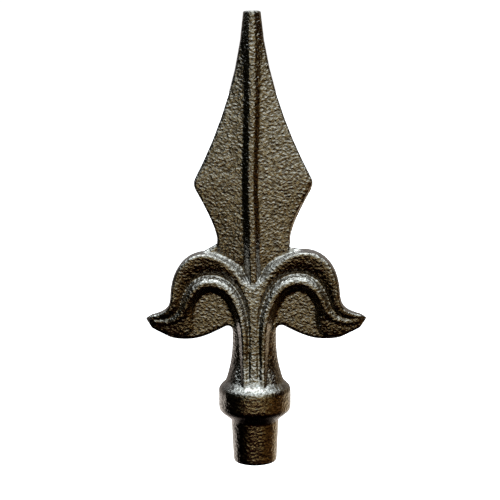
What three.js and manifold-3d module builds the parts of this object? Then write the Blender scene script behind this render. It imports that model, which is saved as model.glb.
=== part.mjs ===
// Cast railing spear head: a plain round spigot, a turned collar, a reeded neck, two leaves that
// arch outwards on flat webs, and a tall blade with a midrib. It is one casting, so it is one solid.
//
// Millimetres. +Z runs up from the spigot's end face to the point, the front looks along -Y, and the
// casting is the same on both sides of the parting plane Y = 0. The origin is the centre of the
// spigot's end face.

import * as THREE from 'three';
import * as BufferGeometryUtils from 'three/addons/utils/BufferGeometryUtils.js';
import Module from 'manifold-3d';

// Spigot, the shank that goes into the rail or over the bar
const spigotLength = 20;
const spigotEndRadius = 9.8;
const spigotTopRadius = 10.8;
const spigotEdgeRound = 1.3;

// Collar
const collarRadius = 16.4;
const collarUnderbevel = 4.6;
const collarBand = 10.2;
const collarTopBevel = 3.0;
const collarShoulderRadius = 13.2;
const collarEdgeRound = 1.6;

// Neck, round at the sides and a little flatter in front, so that the reeds stand out of it
const neckRadius = 9.9;
const neckFlareLength = 18.5;
const neckLength = 24;
const neckCoreTaper = 18;
const neckFlatness = 0.86;

// Leaves
const leafReach = 50;
const leafRise = 59.6;
const leafTipShare = 0.485;
const leftLeaf = { across: 0.992, up: 0.994 };
const rightLeaf = { across: 1.022, up: 1.009 };
const leafBeadDepth = 7.4;
const leafRimDepth = 6.6;
const leafScoopDepth = 4.0;
const rimTopWidth = 1.5;
const rimOverlap = 0.3;
const veeSlopeWidth = 2.5;
const stripDepth = 9.9;
const reedDepth = 10.3;
const reedGrooveDepth = 9.0;

// Webs, the flat plates that close the leaves' arches, and the fills between leaf and blade
const webHalfThickness = 2.5;
const webEdgeBevel = 1.6;
const fillHalfThickness = 1.9;
const leftFill = { reach: 30, rise: 100.4, fall: 7.4 };
const rightFill = { reach: 23, rise: 98.8, fall: 1.0 };

// Blade
const totalHeight = 204;
const waistHeight = 101;
const waistWidth = 33;
const shoulderHeight = 127.7;
const shoulderWidth = 54.8;
const shoulderRound = 2.9;
const tipWidth = 7.6;
const bladeEdgeHalfThickness = 2.3;
const bladeCheekDepth = 4.1;
const bladeTipShare = 0.58;
const bladeEdgeDraft = 0.4;
const filedBevel = 1.1;
const ribHalfWidth = 3.4;
const ribTopHalfWidth = 1.05;
const ribDepth = 6.6;
const ribSideStep = -1.25;
const ribTopStep = 0.45;

const asDrawn = { across: 1, up: 1 };

// Facets
const roundFacets = 36;
const cornerFacets = 3;
const leafSteps = [5, 17, 10, 11];
const flankFacets = 7;

// Heights that follow from the sizes above
const collarBottom = spigotLength;
const collarBandTop = collarBottom + collarUnderbevel + collarBand;
const neckBase = collarBandTop + collarTopBevel;
const leafTopAtNeck = neckBase + neckLength;

const { clamp, lerp, smoothstep } = THREE.MathUtils;
const wasm = await Module();
wasm.setup();

/** Turns a closed three.js geometry into a solid that can be joined. */
function solid(geometry) {
  const bare = geometry.index ? geometry.clone() : geometry;
  bare.deleteAttribute('normal');
  bare.deleteAttribute('uv');
  const merged = BufferGeometryUtils.mergeVertices(bare, 1e-4);
  const vertProperties = new Float32Array(merged.attributes.position.array);
  const triVerts = new Uint32Array(merged.index.array);
  return new wasm.Manifold(new wasm.Mesh({ numProp: 3, vertProperties, triVerts }));
}

/** Turns a joined solid back into a geometry with flat facets. */
function geometryOf(manifold) {
  const mesh = manifold.getMesh();
  const geometry = new THREE.BufferGeometry();
  geometry.setAttribute('position', new THREE.BufferAttribute(mesh.vertProperties, 3));
  geometry.setIndex(new THREE.BufferAttribute(mesh.triVerts, 1));
  geometry.computeVertexNormals();
  return geometry;
}

/** Skins a row of closed rings of as many points, split on the shorter diagonals, with both ends capped. */
function loft(rings) {
  const count = rings[0].length;
  const positions = rings.flat().flatMap((point) => [point.x, point.y, point.z]);
  const faces = [];
  for (let i = 0; i + 1 < rings.length; i++) {
    for (let j = 0; j < count; j++) {
      const a = i * count + j;
      const b = i * count + (j + 1) % count;
      const [near, far] = [rings[i], rings[i + 1]];
      const k = (j + 1) % count;
      if (near[j].distanceTo(far[k]) < near[k].distanceTo(far[j])) {
        faces.push(a, b, b + count, a, b + count, a + count);
      } else {
        faces.push(a, b, a + count, b, b + count, a + count);
      }
    }
  }
  for (const [ring, order] of [[0, [0, 2, 1]], [rings.length - 1, [0, 1, 2]]]) {
    const middle = new THREE.Vector3();
    rings[ring].forEach((point) => middle.addScaledVector(point, 1 / count));
    const centre = positions.length / 3;
    positions.push(middle.x, middle.y, middle.z);
    for (let j = 0; j < count; j++) {
      const corner = [centre, ring * count + j, ring * count + (j + 1) % count];
      faces.push(...order.map((k) => corner[k]));
    }
  }
  const geometry = new THREE.BufferGeometry();
  geometry.setAttribute('position', new THREE.Float32BufferAttribute(positions, 3));
  geometry.setIndex(faces);
  return geometry;
}

/** A piece drawn for the right side, sized about the neck's foot and turned over for the left. */
function onSide(geometry, side, { across, up }) {
  geometry.translate(0, 0, -neckBase).scale(across, 1, up).translate(0, 0, neckBase);
  return side < 0 ? geometry.rotateZ(Math.PI) : geometry;
}

/** A ring from one side's points: the same points again, mirrored through the parting plane. */
function twoSided(front) {
  const back = front.filter((point) => point.depth > 0).reverse();
  return [
    ...front.map((point) => new THREE.Vector3(point.x, -point.depth, point.z)),
    ...back.map((point) => new THREE.Vector3(point.x, point.depth, point.z)),
  ];
}

/** A path of straight runs whose corners are rounded: each corner is [x, y, round]. */
function roundedPath(path, corners) {
  corners.forEach(([x, y, round], i) => {
    const corner = new THREE.Vector2(x, y);
    if (i === 0) {
      path.moveTo(x, y);
    } else if (!round || i === corners.length - 1) {
      path.lineTo(x, y);
    } else {
      const back = new THREE.Vector2(...corners[i - 1]).sub(corner).setLength(round).add(corner);
      const on = new THREE.Vector2(...corners[i + 1]).sub(corner).setLength(round).add(corner);
      path.lineTo(back.x, back.y);
      path.quadraticCurveTo(x, y, on.x, on.y);
    }
  });
  return path;
}

// The neck's extra radius, a curve that runs out of the collar's top
function neckFlare(z) {
  const share = clamp((z - neckBase) / neckFlareLength, 0, 1);
  return (collarShoulderRadius - neckRadius) * (1 - share) ** 2;
}

// Spigot, collar and neck, turned about the middle line, with the neck's front and back drawn in
function turnedShank() {
  const lower = roundedPath(new THREE.Path(), [
    [0, 0],
    [spigotEndRadius, 0, spigotEdgeRound],
    [spigotTopRadius, collarBottom, spigotEdgeRound / 2],
    [collarRadius, collarBottom + collarUnderbevel, collarEdgeRound],
    [collarRadius, collarBandTop, collarEdgeRound],
    [collarShoulderRadius, neckBase],
  ]).getPoints(cornerFacets);
  const flareSteps = 6;
  const neck = [];
  for (let i = 1; i <= flareSteps; i++) {
    const z = neckBase + neckFlareLength * i / flareSteps;
    neck.push(new THREE.Vector2(neckRadius + neckFlare(z), z));
  }
  const core = [
    new THREE.Vector2(neckRadius, leafTopAtNeck),
    new THREE.Vector2(neckRadius * 0.6, leafTopAtNeck + neckCoreTaper * 0.6),
    new THREE.Vector2(0, leafTopAtNeck + neckCoreTaper),
  ];
  const shank = new THREE.LatheGeometry([...lower, ...neck, ...core], roundFacets);
  shank.rotateX(Math.PI / 2);
  const place = shank.attributes.position;
  for (let i = 0; i < place.count; i++) {
    const drawn = smoothstep(place.getZ(i), neckBase, neckBase + neckFlareLength / 2);
    place.setY(i, place.getY(i) * lerp(1, neckFlatness, drawn));
  }
  return shank;
}

// A place on a leaf, as shares of its reach and of its rise above the collar
const onLeaf = (across, up) => new THREE.Vector2(across * leafReach, neckBase + up * leafRise);

// The leaf's two ruling lines, each in four legs: up the neck, over the arch, down its side and out
// to the tip. One is the crest of the outer rim, the other the crest of the inner bead.
const rimLine = [
  new THREE.LineCurve(onLeaf(0.009, -0.02), onLeaf(0.009, 0.46)),
  new THREE.CubicBezierCurve(
    onLeaf(0.009, 0.46), onLeaf(0.009, 0.7), onLeaf(0.207, 0.98), onLeaf(0.445, 0.98)),
  new THREE.CubicBezierCurve(
    onLeaf(0.445, 0.98), onLeaf(0.6, 0.98), onLeaf(0.716, 0.87), onLeaf(0.73, 0.675)),
  new THREE.CubicBezierCurve(
    onLeaf(0.73, 0.675), onLeaf(0.738, 0.54), onLeaf(0.817, 0.52), onLeaf(0.94, 0.497)),
];
const beadLine = [
  new THREE.LineCurve(onLeaf(0.076, -0.02), onLeaf(0.08, 0.37)),
  new THREE.CubicBezierCurve(
    onLeaf(0.08, 0.37), onLeaf(0.091, 0.57), onLeaf(0.187, 0.78), onLeaf(0.394, 0.78)),
  new THREE.CubicBezierCurve(
    onLeaf(0.394, 0.78), onLeaf(0.505, 0.78), onLeaf(0.574, 0.7), onLeaf(0.618, 0.595)),
  new THREE.CubicBezierCurve(
    onLeaf(0.618, 0.595), onLeaf(0.653, 0.5), onLeaf(0.758, 0.437), onLeaf(0.92, 0.468)),
];

/** A value that runs smoothly along the legs, through one number at each end and middle of a leg. */
function alongLeaf(values) {
  const course = new THREE.SplineCurve(values.map((value, i) => new THREE.Vector2(i, value)));
  return (leg, t) => course.getPoint((leg + t) / rimLine.length).y;
}

// Widths across the leaf, and depths from the parting plane
const rimSide = alongLeaf([0.75, 0.75, 0.75, 0.9, 1.0, 1.4, 1.5, 1.2, 0.7]);
const scoopReach = alongLeaf([1.7, 1.7, 1.8, 2.8, 2.9, 3.0, 2.6, 2.3, 1.2]);
const beadTop = alongLeaf([1.2, 1.2, 1.4, 1.9, 2.3, 1.9, 1.3, 1.2, 0.8]);
const beadUnderside = alongLeaf([1.0, 1.0, 1.6, 2.7, 2.6, 2.6, 3.0, 7.3, 2.7]);
const rimDepth = alongLeaf([9.9, stripDepth, 9.0, 6.9, leafRimDepth, 6.4, 6.0, 5.0, 2.6]);
const scoopDepth = alongLeaf([9.0, reedGrooveDepth, 8.6, 5.2, leafScoopDepth, 3.9, 3.8, 3.4, 2.2]);
const beadDepth = alongLeaf([10.3, reedDepth, 10.2, 8.3, leafBeadDepth, 7.0, 6.2, 4.8, 2.7]);
const underDepth = alongLeaf([6.4, 6.4, 5.4, 2.4, 2.3, 2.3, 2.1, 3.3, 1.4]);

/** One cross-section of a leaf, at t along a leg, as points with their depth. */
function leafSection(leg, t) {
  const turn = new THREE.Vector2();
  const rim = rimLine[leg].getPoint(t);
  const bead = beadLine[leg].getPoint(t);
  const rimAway = rimLine[leg].getTangent(t).rotateAround(turn, Math.PI / 2);
  const beadAway = beadLine[leg].getTangent(t).rotateAround(turn, -Math.PI / 2);
  const flare = neckFlare(rim.y);
  const at = (base, direction, reach, depth) => {
    const place = base.clone().addScaledVector(direction, reach);
    return { x: place.x, z: place.y, depth: depth + flare };
  };
  // Up to the vee the rims widen until they meet, and from there their outer sides slope down to
  // the blade
  const up = (share) => onLeaf(0, share).y;
  const inside = leg < 2;
  const meeting = (rim.x + rimOverlap) / -rimAway.x * (1 - smoothstep(rim.y, up(0.68), up(0.8)));
  const sloping = smoothstep(rim.y, up(0.58), up(0.7)) * (1 - smoothstep(rim.y, up(0.84), up(0.98)));
  const outward = Math.max(rimTopWidth / 2, inside ? meeting : 0);
  const side = Math.max(rimSide(leg, t), outward) + (inside ? veeSlopeWidth * sloping : 0);
  const rimTop = rimDepth(leg, t);
  const rimFoot = lerp(Math.min(rimTop * 0.45, bladeEdgeHalfThickness), bladeCheekDepth * 0.93, sloping);
  const foot = scoopDepth(leg, t);
  const crest = beadDepth(leg, t);
  const top = beadTop(leg, t);
  const reach = scoopReach(leg, t);
  const under = beadUnderside(leg, t);
  const inner = at(rim, rimAway, -rimTopWidth / 2, rimTop);
  const scoop = at(bead, beadAway, -reach, foot);
  const slope = (across, down) => ({
    x: lerp(inner.x, scoop.x, across),
    z: lerp(inner.z, scoop.z, across),
    depth: lerp(inner.depth, scoop.depth, down),
  });
  return [
    { ...at(rim, rimAway, side, 0), depth: 0 },
    at(rim, rimAway, lerp(outward, side, 0.95), rimFoot),
    at(rim, rimAway, lerp(outward, side, 0.55), lerp(rimFoot, rimTop, 0.45)),
    at(rim, rimAway, lerp(outward, side, 0.12), rimTop * 0.94),
    at(rim, rimAway, outward - rimTopWidth * 0.3, rimTop),
    inner,
    slope(0.4, 0.2),
    slope(0.8, 0.6),
    scoop,
    at(bead, beadAway, -reach * 0.76, lerp(foot, crest, 0.35)),
    at(bead, beadAway, -reach * 0.46, lerp(foot, crest, 0.72)),
    at(bead, beadAway, -reach * 0.12, lerp(foot, crest, 0.96)),
    at(bead, beadAway, top * 0.55, crest),
    at(bead, beadAway, top, crest - 0.5),
    at(bead, beadAway, top + under * 0.6, lerp(crest, underDepth(leg, t), 0.6)),
    at(bead, beadAway, top + under, underDepth(leg, t)),
  ];
}

/** A leaf with its reed down the neck, as the right one lies. */
function leafSkin() {
  const rings = [];
  leafSteps.forEach((steps, leg) => {
    for (let i = leg === 0 ? 0 : 1; i <= steps; i++) {
      rings.push(twoSided(leafSection(leg, i / steps)));
    }
  });
  const last = rings[rings.length - 1];
  const tip = new THREE.Vector3(leafReach, 0, onLeaf(0, leafTipShare).y);
  for (const share of [0.5, 0.93]) {
    rings.push(last.map((point) => point.clone().lerp(tip, share)));
  }
  return loft(rings);
}

// A flat plate on the parting plane, with its edge bevelled inside its outline
function plate(outline, halfThickness, bevel) {
  const core = 2 * (halfThickness - bevel);
  const geometry = new THREE.ExtrudeGeometry(outline, {
    depth: core,
    bevelThickness: bevel,
    bevelSize: bevel * 0.8,
    bevelOffset: -bevel * 0.8,
    bevelSegments: 2,
    curveSegments: 8,
  });
  return geometry.translate(0, 0, -core / 2).rotateX(Math.PI / 2);
}

/** The plate that fills a leaf's arch: its lower edge shows, the rest lies inside the leaf. */
function webPlate() {
  const outline = new THREE.Shape();
  const move = (method, ...points) => outline[method](...points.flatMap((p) => [p.x, p.y]));
  move('moveTo', onLeaf(0.098, 0.36));
  move('lineTo', onLeaf(0.187, 0.36));
  move('quadraticCurveTo', onLeaf(0.192, 0.44), onLeaf(0.256, 0.428));
  move('bezierCurveTo', onLeaf(0.364, 0.385), onLeaf(0.472, 0.326), onLeaf(0.62, 0.326));
  move('bezierCurveTo', onLeaf(0.738, 0.326), onLeaf(0.79, 0.337), onLeaf(0.838, 0.378));
  for (const leg of [3, 2, 1]) {
    const steps = 5;
    for (let i = leg === 3 ? 1 : 0; i < steps; i++) {
      const point = beadLine[leg].getPoint(1 - i / steps);
      outline.lineTo(point.x, point.y);
    }
  }
  return outline;
}

// The blade's outline on its right side, from behind the leaves up to the tip
function bladeFlank() {
  const path = new THREE.Path();
  const half = shoulderWidth / 2;
  const upper = totalHeight - shoulderHeight;
  path.moveTo(...onLeaf(0.049, 0.69));
  path.lineTo(...onLeaf(0.158, 0.84));
  path.lineTo(...onLeaf(0.295, 0.945));
  path.lineTo(waistWidth / 2, waistHeight);
  path.quadraticCurveTo(
    half * 0.56, lerp(waistHeight, shoulderHeight, 0.2),
    half - 0.57 * shoulderRound, shoulderHeight - shoulderRound,
  );
  path.quadraticCurveTo(
    half, shoulderHeight,
    half - 0.52 * shoulderRound, shoulderHeight + shoulderRound,
  );
  path.bezierCurveTo(
    half * 0.617, shoulderHeight + upper * 0.261,
    half * 0.2255, shoulderHeight + upper * 0.593,
    tipWidth / 2, totalHeight,
  );
  return path.getPoints(flankFacets);
}

/** One level cross-section of the blade: edges, cheeks and a rib whose top lies off its middle. */
function bladeSection({ x: halfWidth, y: z }) {
  const thin = lerp(1, bladeTipShare, clamp((z - waistHeight) / (totalHeight - waistHeight), 0, 1));
  const cheek = bladeCheekDepth * thin;
  const crest = ribDepth * thin;
  const foot = Math.min(ribHalfWidth, (halfWidth - bladeEdgeDraft) * 0.72);
  const widening = smoothstep(halfWidth, tipWidth, shoulderWidth / 2);
  const middle = ribSideStep * widening;
  const flank = (side) => {
    const top = ribTopStep * widening + side * ribTopHalfWidth;
    return [
      [top, crest],
      [lerp(top, side * foot, 0.3), lerp(cheek, crest, 0.75)],
      [side * foot, cheek],
    ].map(([across, depth]) => ({ x: middle + across, z, depth }));
  };
  const edge = [halfWidth - bladeEdgeDraft, bladeEdgeHalfThickness * thin];
  // Below the shoulder the right edge is filed to a broad bevel
  const below = smoothstep(z, waistHeight, lerp(waistHeight, shoulderHeight, 0.5));
  const filed = z < shoulderHeight ? filedBevel * below : 0;
  return [
    { x: -halfWidth, z, depth: 0 },
    { x: -edge[0], z, depth: edge[1] },
    ...flank(-1).toReversed(),
    ...flank(1),
    { x: edge[0] - filed, z, depth: edge[1] },
    { x: halfWidth, z, depth: 0 },
  ];
}

/** The small cast-in fill between a leaf's top and the blade's edge. */
function cheekFill({ reach, rise, fall }) {
  const inner = waistWidth / 2;
  return new THREE.Shape([
    new THREE.Vector2(inner - 3, rise - 13),
    new THREE.Vector2(reach, rise - fall - 3),
    new THREE.Vector2(reach, rise - fall),
    new THREE.Vector2(inner + 0.6, rise),
    new THREE.Vector2(inner - 3, rise),
  ]);
}

const shank = solid(turnedShank());
const blade = solid(loft(bladeFlank().map((point) => twoSided(bladeSection(point)))));
const sides = [[1, rightLeaf, rightFill], [-1, leftLeaf, leftFill]];
const head = sides.reduce((sum, [side, size, fill]) => [
  onSide(leafSkin(), side, size),
  onSide(plate(webPlate(), webHalfThickness, webEdgeBevel), side, size),
  onSide(plate(cheekFill(fill), fillHalfThickness, fillHalfThickness / 2), side, asDrawn),
].reduce((joined, geometry) => joined.add(solid(geometry)), sum), shank.add(blade));

const bronzeLacquer = new THREE.MeshStandardMaterial({
  color: '#4a4232',
  roughness: 0.35,
  metalness: 0.85,
});
const spearHead = new THREE.Mesh(geometryOf(head), bronzeLacquer);
spearHead.name = 'spear_head';
const part = new THREE.Group();
part.add(spearHead);

export default part;
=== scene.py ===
"""Looks of a cast railing spear head: its sand-cast skin, its dark lacquer and the studio round it."""

import math

import bpy
from bpy.props import FloatProperty, IntProperty, PointerProperty, StringProperty
from mathutils import Euler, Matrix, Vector


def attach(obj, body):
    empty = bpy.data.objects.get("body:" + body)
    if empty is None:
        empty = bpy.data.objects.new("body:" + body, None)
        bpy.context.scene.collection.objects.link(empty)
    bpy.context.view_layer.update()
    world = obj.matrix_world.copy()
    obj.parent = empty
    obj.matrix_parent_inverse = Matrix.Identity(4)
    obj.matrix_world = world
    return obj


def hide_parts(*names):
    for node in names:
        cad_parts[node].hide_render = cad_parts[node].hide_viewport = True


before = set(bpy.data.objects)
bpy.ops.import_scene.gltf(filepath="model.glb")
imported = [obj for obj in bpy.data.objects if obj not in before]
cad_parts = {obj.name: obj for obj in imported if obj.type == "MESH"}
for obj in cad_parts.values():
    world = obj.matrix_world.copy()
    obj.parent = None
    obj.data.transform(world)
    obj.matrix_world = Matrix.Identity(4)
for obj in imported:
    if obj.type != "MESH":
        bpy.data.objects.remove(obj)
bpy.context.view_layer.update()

bl_info = {
    "name": "Railing Spear Head",
    "version": (1, 0, 0),
    "blender": (4, 5, 0),
    "location": "View3D > Sidebar > Spear Head",
    "description": "Dresses a cast railing spear head with its sand-cast skin and dark lacquer",
    "category": "Object",
}

MM = 0.001

CASTING_NODE = "spear_head"

# The skin's mesh
MERGE_DISTANCE = 0.001 * MM
SMOOTHING_SHARE = 0.5

# The sand's marks: how many of each kind lie across one grain, and how they are drawn out
SWELLS_PER_GRAIN = 0.33
SWELL_STRETCH = (0.9, 1.0, 1.15)
RIDGES_PER_GRAIN = 0.8
PITS_PER_GRAIN = 0.7
RIDGE_STRETCH = (0.95, 1.0, 1.1)
PIT_DEPTH_SHARE = 0.35

# The swells' noise lies about its middle and swings by about this much to either side
NOISE_MIDDLE = 0.5
NOISE_SWING = 0.25

# How much of the grain's depth is left on the dressed spigot and collar, and over what height the rest
# comes back above them
DRESSED_FADE = 3 * MM
DRESSED_RELIEF = 0.65
FULL_RELIEF = 1.0

# The studio
FLOOR_WIDTH = 60
FLOOR_GLOW = 0.95
PAGE_GLOW = 1.05
SOFTBOX_SETBACK = 0.12
SOFTBOX_AIM = Vector((0, 0, 0.1))
CAMERA_PLACE = Vector((26.17, -599.43, 184.0)) * MM
CAMERA_AIM = Vector((-1.653, 0.0, 97.837)) * MM
SENSOR_WIDTH = 36.0
NEAREST_SEEN = 0.05

# The room in front, from straight down to straight up: dark ground, brown walls with a gold band low
# on them, then a bright ceiling
ROOM_UPWARD = (
    (0.0, "#040202"), (0.25, "#100605"), (0.32, "#301c12"), (0.36, "#5c4630"), (0.385, "#4e3c2a"),
    (0.4, "#4a3c28"), (0.415, "#62523a"), (0.435, "#dcc48c"), (0.455, "#665839"), (0.475, "#6e6342"),
    (0.5, "#78725a"), (0.54, "#7c7a6a"), (0.6, "#888a82"), (0.7, "#c8cccc"), (0.8, "#ccd8e0"),
    (0.88, "#c0ced6"), (1.0, "#d0dce4"))

# Its walls low down, from left to right: black, rosy, then a gold screen
LOW_WALLS = (
    (0.0, "#14140f"), (0.15, "#22201c"), (0.28, "#806e6c"), (0.36, "#b09498"), (0.58, "#b09694"),
    (0.7, "#b8a890"), (0.82, "#e8d898"), (0.92, "#fcf0ac"), (1.0, "#fff6bc"))

# Its walls above the screen, from left to right: black, lit, olive, then a very dark red-brown
HIGH_WALLS = (
    (0.0, "#14140f"), (0.15, "#22221c"), (0.28, "#969690"), (0.36, "#f0f0ea"), (0.58, "#e2e2de"),
    (0.7, "#f4f4f2"), (0.82, "#c8c0a4"), (0.9, "#706040"), (0.95, "#301810"), (1.0, "#140604"))

# The wall behind, from straight down to straight up: black, grey below the horizon, darker grey above
# it, and nearly white overhead
BACK_UPWARD = (
    (0.0, "#0b0808"), (0.12, "#2a2522"), (0.2, "#645e5a"), (0.32, "#8c8682"), (0.375, "#94908c"),
    (0.4, "#6a6460"), (0.43, "#504a46"), (0.65, "#504e4c"), (0.8, "#545456"), (0.9, "#a0a4a8"),
    (0.96, "#dce0e4"), (1.0, "#eceef0"))

# The same wall from left to right: it gets dimmer and warmer
BACK_ACROSS = ((0.0, "#ffffff"), (0.5, "#ffffff"), (0.75, "#f4ecdc"), (0.89, "#ecdab4"), (1.0, "#dcc8a0"))

# Where one part of the room gives way to the next
SCREEN_TOP = {"interpolation_type": "SMOOTHSTEP", "From Min": 0.37, "From Max": 0.4}
CEILING_EDGE = {"interpolation_type": "SMOOTHSTEP", "From Min": 0.72, "From Max": 0.87,
                "To Min": 1.0, "To Max": 0.0}
BACK_WALL_EDGE = {"interpolation_type": "SMOOTHSTEP", "From Min": 0.25, "From Max": 0.45}


# Colours and nodes

def linear(hex_colour):
    """An sRGB hex colour as linear RGBA."""
    parts = [int(hex_colour[i:i + 2], 16) / 255 for i in (1, 3, 5)]
    return tuple(c / 12.92 if c <= 0.04045 else ((c + 0.055) / 1.055) ** 2.4 for c in parts) + (1.0,)


def add_node(tree, kind, settings=None, **links):
    """Adds a node with its settings and links.

    A setting goes to the socket of that name or number, or else to the property of that name. A colour
    ramp's stops are places from 0 to 1, each with an sRGB hex colour. A link names the socket it feeds.
    """
    node = tree.nodes.new(kind)
    for key, value in (settings or {}).items():
        if key == "stops":
            elements = node.color_ramp.elements
            while len(elements) < len(value):
                elements.new(1.0)
            for element, (position, colour) in zip(elements, value):
                element.position, element.color = position, linear(colour)
        elif isinstance(key, int) or key in node.inputs:
            node.inputs[key].default_value = value
        else:
            setattr(node, key, value)
    for name, source in links.items():
        socket = node.inputs[int(name[1:])] if name[1:].isdigit() else node.inputs[name.replace("_", " ")]
        tree.links.new(source, socket)
    return node


# Settings

class CastingSettings(bpy.types.PropertyGroup):
    """Sizes and colours of the casting's skin."""
    skin_step: FloatProperty(
        name="Skin step", description="Size of the skin's small faces",
        default=0.54 * MM, min=0.3 * MM, subtype="DISTANCE", unit="LENGTH")
    edge_softening: IntProperty(
        name="Edge softening", description="How often the edges are smoothed, as lacquer fills them",
        default=2, min=0)
    film_thickness: FloatProperty(
        name="Lacquer film", description="Thickness that the lacquer adds to the casting",
        default=0.12 * MM, subtype="DISTANCE", unit="LENGTH")
    unevenness: FloatProperty(
        name="Skin unevenness", description="Height of the broad unevenness that the mould leaves",
        default=0.03 * MM, subtype="DISTANCE", unit="LENGTH")
    grain_size: FloatProperty(
        name="Grain size", description="Width of the sand grain left by the mould",
        default=1.0 * MM, subtype="DISTANCE", unit="LENGTH")
    grain_depth: FloatProperty(
        name="Grain depth", description="Depth of the sand grain left by the mould",
        default=0.46 * MM, subtype="DISTANCE", unit="LENGTH")
    grain_lean: FloatProperty(
        name="Grain lean", description="Turn of the streaks in the grain, seen from the front",
        default=math.radians(38), subtype="ANGLE", unit="ROTATION")
    dressed_height: FloatProperty(
        name="Dressed height", description="Height up to which the casting was ground smoother",
        default=38 * MM, subtype="DISTANCE", unit="LENGTH")
    # Painted shade: how far round the grooves and inner corners the colour is darkened
    painted_shade_reach: FloatProperty(
        name="Varnish pools", description="Width of the grooves and corners in which the varnish gathers",
        default=3.0 * MM, subtype="DISTANCE", unit="LENGTH")
    bronze_colour: StringProperty(
        name="Lacquer colour", description="Bronze-brown of the lacquered metal, sRGB hex",
        default="#a29d95")
    pit_colour: StringProperty(
        name="Pit colour", description="Darker brown of the lacquer in the grain's pits, sRGB hex",
        default="#5a5248")
    # Painted shade: the near black painted into the grooves and inner corners
    painted_shade_colour: StringProperty(
        name="Pool colour", description="Near black of the varnish in grooves and corners, sRGB hex",
        default="#140a08")


class StudioSettings(bpy.types.PropertyGroup):
    """Light, floor, room and camera."""
    floor_drop: FloatProperty(
        name="Floor drop", description="Depth of the floor below the spigot's end",
        default=0.6, subtype="DISTANCE", unit="LENGTH")
    floor_colour: StringProperty(
        name="Floor colour", description="Pale ground under the casting, sRGB hex",
        default="#f4f4f4")
    softbox_width: FloatProperty(
        name="Softbox width", description="Width of the overhead softbox",
        default=1.1, subtype="DISTANCE", unit="LENGTH")
    softbox_height: FloatProperty(
        name="Softbox height", description="Height of the overhead softbox above the spigot's end",
        default=1.3, subtype="DISTANCE", unit="LENGTH")
    softbox_power: FloatProperty(
        name="Softbox power", description="Power of the overhead softbox",
        default=14.0, unit="POWER")
    softbox_colour: StringProperty(
        name="Softbox colour", description="Cool white of the overhead softbox, sRGB hex",
        default="#ecf8ff")
    room_glow: FloatProperty(
        name="Room glow", description="Brightness of the dim room that the metal reflects",
        default=3.2)
    focal_length: FloatProperty(
        name="Focal length", description="Camera lens in millimetres",
        default=96.8, unit="CAMERA")
    camera_roll: FloatProperty(
        name="Camera roll", description="Turn of the camera about its view",
        default=math.radians(-0.46), subtype="ANGLE", unit="ROTATION")


# Materials

def sand_cast_iron_lacquer(settings):
    """Sand-cast iron under a dark bronze lacquer.

    The mould's sand leaves coarse pits and short leaning ridges. The lacquer is a metal powder in clear
    varnish, so the eye sees shining brown metal under a glossy coat, with a glint on every ridge.
    """
    material = bpy.data.materials.new("sand_cast_iron_bronze_lacquer")
    material.use_nodes = True
    tree = material.node_tree
    tree.nodes.clear()
    place = add_node(tree, "ShaderNodeTexCoord")
    lean = add_node(tree, "ShaderNodeMapping",
                    {"Rotation": (0.0, -settings.grain_lean, 0.0), "Scale": RIDGE_STRETCH},
                    Vector=place.outputs["Object"])
    per_grain = 1 / settings.grain_size
    ridges = add_node(tree, "ShaderNodeTexNoise",
                      {"Scale": per_grain * RIDGES_PER_GRAIN, "Detail": 2.0, "Roughness": 0.5,
                       "Distortion": 0.2},
                      Vector=lean.outputs["Vector"])
    pits = add_node(tree, "ShaderNodeTexVoronoi",
                    {"feature": "SMOOTH_F1", "Scale": per_grain * PITS_PER_GRAIN, "Smoothness": 0.5},
                    Vector=lean.outputs["Vector"])
    grain = add_node(tree, "ShaderNodeMath", {"operation": "MULTIPLY_ADD", 1: -PIT_DEPTH_SHARE},
                     _0=pits.outputs["Distance"], _2=ridges.outputs["Fac"])
    # The spigot and the collar were dressed on the wheel, so their grain is shallower
    level = add_node(tree, "ShaderNodeSeparateXYZ", None, Vector=place.outputs["Object"])
    dressed = add_node(tree, "ShaderNodeMapRange",
                       {"From Min": settings.dressed_height,
                        "From Max": settings.dressed_height + DRESSED_FADE,
                        "To Min": DRESSED_RELIEF, "To Max": FULL_RELIEF},
                       Value=level.outputs["Z"])
    relief = add_node(tree, "ShaderNodeBump", {"Distance": settings.grain_depth},
                      Height=grain.outputs["Value"], Strength=dressed.outputs["Result"])
    # Varnish lies thicker and darker in the pits, and the high spots wear bright
    tint = add_node(tree, "ShaderNodeValToRGB",
                    {"stops": ((0.38, settings.pit_colour), (0.62, settings.bronze_colour))},
                    Fac=ridges.outputs["Fac"])
    # Painted shade: the colour is darkened to near black in the grooves and the inner corners, as far as
    # the surface round about shuts them in
    occlusion_for_shade = add_node(tree, "ShaderNodeAmbientOcclusion", {"samples": 6, "Distance": settings.painted_shade_reach})
    painted_corner_shade = add_node(tree, "ShaderNodeValToRGB",
                      {"stops": ((0.4, settings.painted_shade_colour), (0.7, "#ffffff"))},
                      Fac=occlusion_for_shade.outputs["AO"])
    # The base colour is the grain's tint times this painted shade
    varnish = add_node(tree, "ShaderNodeMix", {"data_type": "RGBA", "blend_type": "MULTIPLY", 0: 1.0},
                       _6=tint.outputs["Color"], _7=painted_corner_shade.outputs["Color"])
    shader = add_node(tree, "ShaderNodeBsdfPrincipled",
                      {"Metallic": 1.0, "Roughness": 0.15, "Coat Weight": 1.0, "Coat Roughness": 0.06,
                       "Coat IOR": 1.5},
                      Base_Color=varnish.outputs[2], Normal=relief.outputs["Normal"],
                      Coat_Normal=relief.outputs["Normal"])
    add_node(tree, "ShaderNodeOutputMaterial", None, Surface=shader.outputs["BSDF"])
    return material


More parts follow.
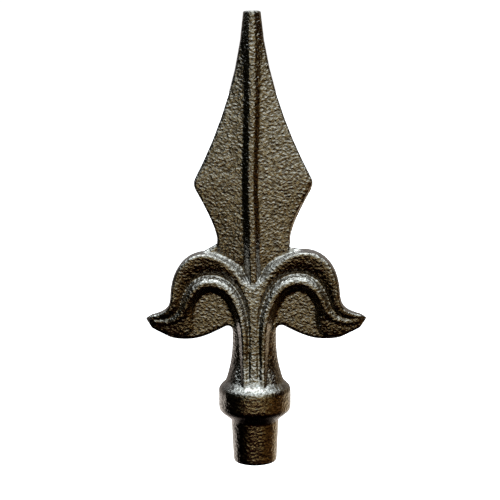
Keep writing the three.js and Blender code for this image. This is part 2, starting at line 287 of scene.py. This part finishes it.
def studio_vinyl(hex_colour):
    """Matt white studio vinyl: even and without any gloss, so it reads as plain pale ground.

    Its glow stands for the lamps that keep such a floor free of shade.
    """
    material = bpy.data.materials.new("studio_vinyl_white")
    material.use_nodes = True
    shader = material.node_tree.nodes["Principled BSDF"]
    shader.inputs["Base Color"].default_value = linear(hex_colour)
    shader.inputs["Roughness"].default_value = 0.9
    shader.inputs["Emission Color"].default_value = linear("#ffffff")
    shader.inputs["Emission Strength"].default_value = FLOOR_GLOW
    return material


# Pieces

def only(obj):
    """Selects one object and nothing else."""
    bpy.ops.object.select_all(action="DESELECT")
    obj.select_set(True)
    bpy.context.view_layer.objects.active = obj


def swells_and_film(settings):
    """The mould's broad unevenness and the lacquer's film, which lift the skin along its normals."""
    tree = bpy.data.node_groups.new("sand_grain", "GeometryNodeTree")
    tree.interface.new_socket("Geometry", in_out="INPUT", socket_type="NodeSocketGeometry")
    tree.interface.new_socket("Geometry", in_out="OUTPUT", socket_type="NodeSocketGeometry")
    skin = add_node(tree, "NodeGroupInput")
    place = add_node(tree, "GeometryNodeInputPosition")
    lean = add_node(tree, "ShaderNodeVectorRotate",
                    {"rotation_type": "Y_AXIS", "Angle": settings.grain_lean},
                    Vector=place.outputs["Position"])
    stretch = add_node(tree, "ShaderNodeVectorMath", {"operation": "MULTIPLY", 1: SWELL_STRETCH},
                       Vector=lean.outputs["Vector"])
    swells = add_node(tree, "ShaderNodeTexNoise",
                      {"Scale": SWELLS_PER_GRAIN / settings.grain_size, "Detail": 2.0, "Roughness": 0.55,
                       "Distortion": 0.3},
                      Vector=stretch.outputs["Vector"])
    height = add_node(tree, "ShaderNodeMath", {"operation": "SUBTRACT", 1: NOISE_MIDDLE},
                      _0=swells.outputs["Fac"])
    lift = add_node(tree, "ShaderNodeMath",
                    {"operation": "MULTIPLY_ADD", 1: settings.unevenness / NOISE_SWING,
                     2: settings.film_thickness},
                    _0=height.outputs["Value"])
    normal = add_node(tree, "GeometryNodeInputNormal")
    offset = add_node(tree, "ShaderNodeVectorMath", {"operation": "SCALE"},
                      Vector=normal.outputs["Normal"], Scale=lift.outputs["Value"])
    lifted = add_node(tree, "GeometryNodeSetPosition", None,
                      Geometry=skin.outputs["Geometry"], Offset=offset.outputs["Vector"])
    add_node(tree, "NodeGroupOutput", None, Geometry=lifted.outputs["Geometry"])
    return tree


class SPEARHEAD_OT_casting(bpy.types.Operator):
    """Make the casting's skin: the solid's form with softened edges and the mould's grain"""
    bl_idname = "spearhead.casting"
    bl_label = "Casting"

    def execute(self, context):
        settings = context.scene.spearhead_casting
        only(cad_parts[CASTING_NODE])
        bpy.ops.object.duplicate(linked=False)
        skin = context.view_layer.objects.active
        skin.name = skin.data.name = "casting_skin"
        # The copy is a piece of its own, so it keeps neither the node's marks nor its parent
        for key in list(skin.keys()):
            del skin[key]
        skin.parent = None
        bpy.ops.object.mode_set(mode="EDIT")
        bpy.ops.mesh.select_all(action="SELECT")
        bpy.ops.mesh.remove_doubles(threshold=MERGE_DISTANCE)
        bpy.ops.object.mode_set(mode="OBJECT")

        bpy.ops.object.modifier_add(type="REMESH")
        remesh = skin.modifiers[-1]
        remesh.mode = "VOXEL"
        remesh.voxel_size = settings.skin_step
        bpy.ops.object.modifier_apply(modifier=remesh.name)
        bpy.ops.object.modifier_add(type="SMOOTH")
        smooth = skin.modifiers[-1]
        smooth.factor = SMOOTHING_SHARE
        smooth.iterations = settings.edge_softening
        bpy.ops.object.modifier_apply(modifier=smooth.name)
        bpy.ops.object.modifier_add(type="NODES")
        grain = skin.modifiers[-1]
        grain.node_group = swells_and_film(settings)
        bpy.ops.object.modifier_apply(modifier=grain.name)
        bpy.ops.object.shade_smooth()

        skin.data.materials.clear()
        skin.data.materials.append(sand_cast_iron_lacquer(settings))
        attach(skin, "root")
        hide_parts(CASTING_NODE)
        return {"FINISHED"}


# Stage

def add_floor(settings):
    """The pale floor, which the metal doesn't mirror."""
    bpy.ops.object.select_all(action="DESELECT")
    bpy.ops.mesh.primitive_plane_add(size=FLOOR_WIDTH, location=(0, 0, -settings.floor_drop))
    floor = bpy.context.active_object
    floor.name = "studio_floor"
    floor.data.materials.append(studio_vinyl(settings.floor_colour))
    floor.visible_glossy = False


def add_softbox(settings):
    """The square softbox overhead, turned to the casting and hidden from the camera."""
    place = Vector((0, SOFTBOX_SETBACK, settings.softbox_height))
    turn = (SOFTBOX_AIM - place).to_track_quat("-Z", "Y").to_euler()
    bpy.ops.object.light_add(type="AREA", location=place, rotation=turn)
    softbox = bpy.context.active_object
    softbox.name = softbox.data.name = "overhead_softbox"
    softbox.data.shape = "SQUARE"
    softbox.data.size = settings.softbox_width
    softbox.data.energy = settings.softbox_power
    softbox.data.color = linear(settings.softbox_colour)[:3]
    softbox.visible_camera = False


def studio_room(settings):
    """The room that the metal mirrors. The camera itself sees a white page in its place."""
    world = bpy.data.worlds.new("pale_studio")
    world.use_nodes = True
    tree = world.node_tree
    tree.nodes.clear()
    heading = add_node(tree, "ShaderNodeTexCoord")
    parts = add_node(tree, "ShaderNodeSeparateXYZ", None, Vector=heading.outputs["Generated"])
    rise = add_node(tree, "ShaderNodeMapRange", {"From Min": -1.0, "From Max": 1.0},
                    Value=parts.outputs["Z"])
    turn = add_node(tree, "ShaderNodeMapRange", {"From Min": -1.0, "From Max": 1.0},
                    Value=parts.outputs["X"])
    # In front, coloured walls with a bright ceiling over them all round
    upward = add_node(tree, "ShaderNodeValToRGB", {"stops": ROOM_UPWARD}, Fac=rise.outputs["Result"])
    low_walls = add_node(tree, "ShaderNodeValToRGB", {"stops": LOW_WALLS}, Fac=turn.outputs["Result"])
    high_walls = add_node(tree, "ShaderNodeValToRGB", {"stops": HIGH_WALLS}, Fac=turn.outputs["Result"])
    over_screen = add_node(tree, "ShaderNodeMapRange", SCREEN_TOP, Value=rise.outputs["Result"])
    around = add_node(tree, "ShaderNodeMix", {"data_type": "RGBA"}, _0=over_screen.outputs["Result"],
                      _6=low_walls.outputs["Color"], _7=high_walls.outputs["Color"])
    under_ceiling = add_node(tree, "ShaderNodeMapRange", CEILING_EDGE, Value=rise.outputs["Result"])
    front = add_node(tree, "ShaderNodeMix", {"data_type": "RGBA", "blend_type": "MULTIPLY"},
                     _0=under_ceiling.outputs["Result"],
                     _6=upward.outputs["Color"], _7=around.outputs[2])
    # Behind, a grey wall
    grey = add_node(tree, "ShaderNodeValToRGB", {"stops": BACK_UPWARD}, Fac=rise.outputs["Result"])
    beside = add_node(tree, "ShaderNodeValToRGB", {"stops": BACK_ACROSS}, Fac=turn.outputs["Result"])
    back = add_node(tree, "ShaderNodeMix", {"data_type": "RGBA", "blend_type": "MULTIPLY", 0: 1.0},
                    _6=grey.outputs["Color"], _7=beside.outputs["Color"])
    behind = add_node(tree, "ShaderNodeMapRange", BACK_WALL_EDGE, Value=parts.outputs["Y"])
    walls = add_node(tree, "ShaderNodeMix", {"data_type": "RGBA"},
                     _0=behind.outputs["Result"], _6=front.outputs[2], _7=back.outputs[2])
    room = add_node(tree, "ShaderNodeBackground", {"Strength": settings.room_glow},
                    Color=walls.outputs[2])
    page = add_node(tree, "ShaderNodeBackground", {"Color": linear("#ffffff"), "Strength": PAGE_GLOW})
    seen = add_node(tree, "ShaderNodeLightPath")
    shown = add_node(tree, "ShaderNodeMixShader", None, _0=seen.outputs["Is Camera Ray"],
                     _1=room.outputs["Background"], _2=page.outputs["Background"])
    add_node(tree, "ShaderNodeOutputWorld", None, Surface=shown.outputs["Shader"])
    return world


def add_camera(settings):
    """The camera, a little above the casting's middle and to its right, with a slight roll."""
    bpy.ops.object.camera_add(location=CAMERA_PLACE)
    camera = bpy.context.active_object
    camera.name = camera.data.name = "photo_camera"
    look = (CAMERA_AIM - CAMERA_PLACE).to_track_quat("-Z", "Y").to_matrix()
    roll = Euler((0, 0, settings.camera_roll)).to_matrix()
    camera.rotation_euler = (look @ roll).to_euler()
    camera.data.sensor_width = SENSOR_WIDTH
    camera.data.lens = settings.focal_length
    camera.data.clip_start = NEAREST_SEEN
    return camera


class SPEARHEAD_OT_studio(bpy.types.Operator):
    """Set up the pale floor, the softbox, the room and the camera"""
    bl_idname = "spearhead.studio"
    bl_label = "Studio"

    def execute(self, context):
        settings = context.scene.spearhead_studio
        add_floor(settings)
        add_softbox(settings)
        context.scene.world = studio_room(settings)
        context.scene.camera = add_camera(settings)
        context.scene.view_settings.view_transform = "Standard"
        return {"FINISHED"}


# Add-on

class SPEARHEAD_PT_panel(bpy.types.Panel):
    """Lists the steps and settings of the spear head"""
    bl_label = "Spear Head"
    bl_idname = "SPEARHEAD_PT_panel"
    bl_space_type = "VIEW_3D"
    bl_region_type = "UI"
    bl_category = "Spear Head"

    def draw(self, context):
        for group, operator in (("spearhead_casting", SPEARHEAD_OT_casting),
                                ("spearhead_studio", SPEARHEAD_OT_studio)):
            settings = getattr(context.scene, group)
            box = self.layout.box()
            for name in settings.bl_rna.properties.keys():
                if name not in ("rna_type", "name"):
                    box.prop(settings, name)
            box.operator(operator.bl_idname)


CLASSES = (CastingSettings, StudioSettings, SPEARHEAD_OT_casting, SPEARHEAD_OT_studio, SPEARHEAD_PT_panel)


def register():
    """Adds the settings, the operators and the panel."""
    for cls in CLASSES:
        bpy.utils.register_class(cls)
    bpy.types.Scene.spearhead_casting = PointerProperty(type=CastingSettings)
    bpy.types.Scene.spearhead_studio = PointerProperty(type=StudioSettings)


def unregister():
    """Takes them away again."""
    del bpy.types.Scene.spearhead_studio
    del bpy.types.Scene.spearhead_casting
    for cls in reversed(CLASSES):
        bpy.utils.unregister_class(cls)


def main():
    """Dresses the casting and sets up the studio."""
    register()
    bpy.ops.spearhead.casting()
    bpy.ops.spearhead.studio()


if __name__ == "__main__":
    main()
